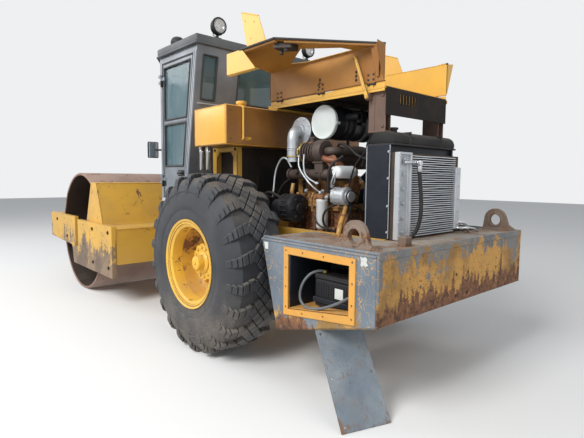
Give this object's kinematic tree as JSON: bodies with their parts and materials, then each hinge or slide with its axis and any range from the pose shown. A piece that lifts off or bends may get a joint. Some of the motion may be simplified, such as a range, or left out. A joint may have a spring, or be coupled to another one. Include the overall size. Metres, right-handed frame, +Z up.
{
  "type": "road roller",
  "caption": "Articulated single-drum soil roller with two rear tyres, cab, ballast weight and an open engine bay under two raised hood wings.",
  "frame": {"origin": "on the ground under the middle of the machine's length and width", "axes": "+X forward to the drum, +Y to the machine's left, +Z up"},
  "size_m": [5.87, 2.266, 2.9381],
  "materials": {
    "tyre": "black worn rubber",
    "wheel_yellow": "yellow paint, rust at the bolts",
    "frame_yellow": "yellow paint, chipped to rust",
    "frame_grey": "blue-grey worn paint over rust",
    "drum_steel": "bare steel, brown rust",
    "cab_grey": "blue-grey paint",
    "roof_yellow": "yellow paint",
    "engine_yellow": "yellow paint under oil and dust",
    "engine_dark": "dark oily iron",
    "pipe_grey": "dull grey metal",
    "filter_white": "white and black enamel",
    "black_metal": "black paint",
    "cooler_grey": "light grey fins",
    "glass": "tinted clear glass",
    "seat_black": "dark worn cloth",
    "black_plastic": "black moulded",
    "hose_rubber": "black hose",
    "rod_chrome": "polished rod"
  },
  "bodies": {
    "rear_machine": {"chassis": "frame_yellow", "rear_axle": "frame_yellow", "counterweight": "frame_grey", "battery": "black_plastic", "cover_plate": "frame_grey", "engine_block": "engine_yellow", "exhaust_manifold": "engine_dark", "air_cleaner": "black_metal", "intake_pipe": "pipe_grey", "filters": "filter_white", "engine_drives": "black_metal", "radiator": "cooler_grey", "cooler_hose": "hose_rubber", "engine_hoses": "hose_rubber", "muffler": "engine_dark", "boarding_steps": "frame_yellow", "hood_frame": "roof_yellow", "hood_posts": "engine_dark", "tank": "roof_yellow", "tank_stand": "frame_yellow", "cab_shell": "cab_grey", "cab_glass": "glass", "cab_roof": "cab_grey", "seat": "seat_black", "console": "black_plastic", "work_lamps": "black_plastic", "mirrors": "black_plastic"},
    "front_frame": {"side_plate_left": "frame_yellow", "side_plate_right": "frame_yellow", "front_beam": "frame_yellow", "rear_beam": "frame_yellow", "drum_fender": "frame_yellow", "drum_mounts": "black_metal"},
    "drum": {"drum_shell": "drum_steel", "drum_heads": "drum_steel"},
    "wheel_left": {"tyre_left": "tyre", "rim_left": "wheel_yellow"},
    "cab_door_left": {"cab_door_left": "cab_grey", "door_glass_left": "glass"},
    "hood_left": {"hood_door_left": "roof_yellow"},
    "prop_left": {"hood_prop_left": "roof_yellow"},
    "steer_barrel_left": {"steer_barrel_left": "frame_yellow"},
    "steer_rod_left": {"steer_rod_left": "rod_chrome"},
    "wheel_right": {"tyre_right": "tyre", "rim_right": "wheel_yellow"},
    "cab_door_right": {"cab_door_right": "cab_grey", "door_glass_right": "glass"},
    "hood_right": {"hood_door_right": "roof_yellow"},
    "prop_right": {"hood_prop_right": "roof_yellow"},
    "steer_barrel_right": {"steer_barrel_right": "frame_yellow"},
    "steer_rod_right": {"steer_rod_right": "rod_chrome"}
  },
  "joints": [
    {"name": "articulation", "type": "hinge", "parent": "rear_machine", "child": "front_frame", "pos_m": [0.24, 0, 0.7], "axis": [0, 0, 1], "range_deg": [-35, 35]},
    {"name": "drum_roll", "type": "hinge", "parent": "front_frame", "child": "drum", "pos_m": [1.81, 0, 0.755], "axis": [0, 1, 0], "continuous": true},
    {"name": "wheel_roll_left", "type": "hinge", "parent": "rear_machine", "child": "wheel_left", "pos_m": [-1.11, 0.875, 0.75], "axis": [0, 1, 0], "continuous": true},
    {"name": "cab_door_swing_left", "type": "hinge", "parent": "rear_machine", "child": "cab_door_left", "pos_m": [-0.058, 0.812, 1.93], "axis": [0, 0, 1], "range_deg": [-80, 0]},
    {"name": "hood_lift_left", "type": "hinge", "parent": "rear_machine", "child": "hood_left", "pos_m": [-1.905, 0.4, 2.12], "axis": [1, 0, 0], "range_deg": [-100, 0]},
    {"name": "prop_fold_left", "type": "hinge", "parent": "rear_machine", "child": "prop_left", "pos_m": [-2.392, 0.43, 2.03], "axis": [1, 0, 0], "range_deg": [-180, 0]},
    {"name": "barrel_swing_left", "type": "hinge", "parent": "rear_machine", "child": "steer_barrel_left", "pos_m": [-0.36, 0.28, 0.62], "axis": [0, 0, 1], "range_deg": [-9.8, 9.8]},
    {"name": "rod_slide_left", "type": "slide", "parent": "steer_barrel_left", "child": "steer_rod_left", "axis": [0.9997, 0.0238, 0], "range_m": [-0.176, 0.176]},
    {"name": "wheel_roll_right", "type": "hinge", "parent": "rear_machine", "child": "wheel_right", "pos_m": [-1.11, -0.875, 0.75], "axis": [0, 1, 0], "continuous": true},
    {"name": "cab_door_swing_right", "type": "hinge", "parent": "rear_machine", "child": "cab_door_right", "pos_m": [-0.058, -0.812, 1.93], "axis": [0, 0, 1], "range_deg": [0, 80]},
    {"name": "hood_lift_right", "type": "hinge", "parent": "rear_machine", "child": "hood_right", "pos_m": [-1.905, -0.4, 2.12], "axis": [1, 0, 0], "range_deg": [0, 100]},
    {"name": "prop_fold_right", "type": "hinge", "parent": "rear_machine", "child": "prop_right", "pos_m": [-2.392, -0.43, 2.03], "axis": [1, 0, 0], "range_deg": [0, 180]},
    {"name": "barrel_swing_right", "type": "hinge", "parent": "rear_machine", "child": "steer_barrel_right", "pos_m": [-0.36, -0.28, 0.62], "axis": [0, 0, 1], "range_deg": [-9.8, 9.8]},
    {"name": "rod_slide_right", "type": "slide", "parent": "steer_barrel_right", "child": "steer_rod_right", "axis": [0.9997, -0.0238, 0], "range_m": [-0.176, 0.176]}
  ],
  "couplings": [
    {"joint": "prop_fold_left", "follows": "hood_lift_left", "ratio": 1.8},
    {"joint": "barrel_swing_left", "follows": "articulation", "ratio": 0.278},
    {"joint": "rod_slide_left", "follows": "articulation", "m_per_rad": -0.287},
    {"joint": "prop_fold_right", "follows": "hood_lift_right", "ratio": 1.8},
    {"joint": "barrel_swing_right", "follows": "articulation", "ratio": 0.278},
    {"joint": "rod_slide_right", "follows": "articulation", "m_per_rad": 0.287}
  ]
}
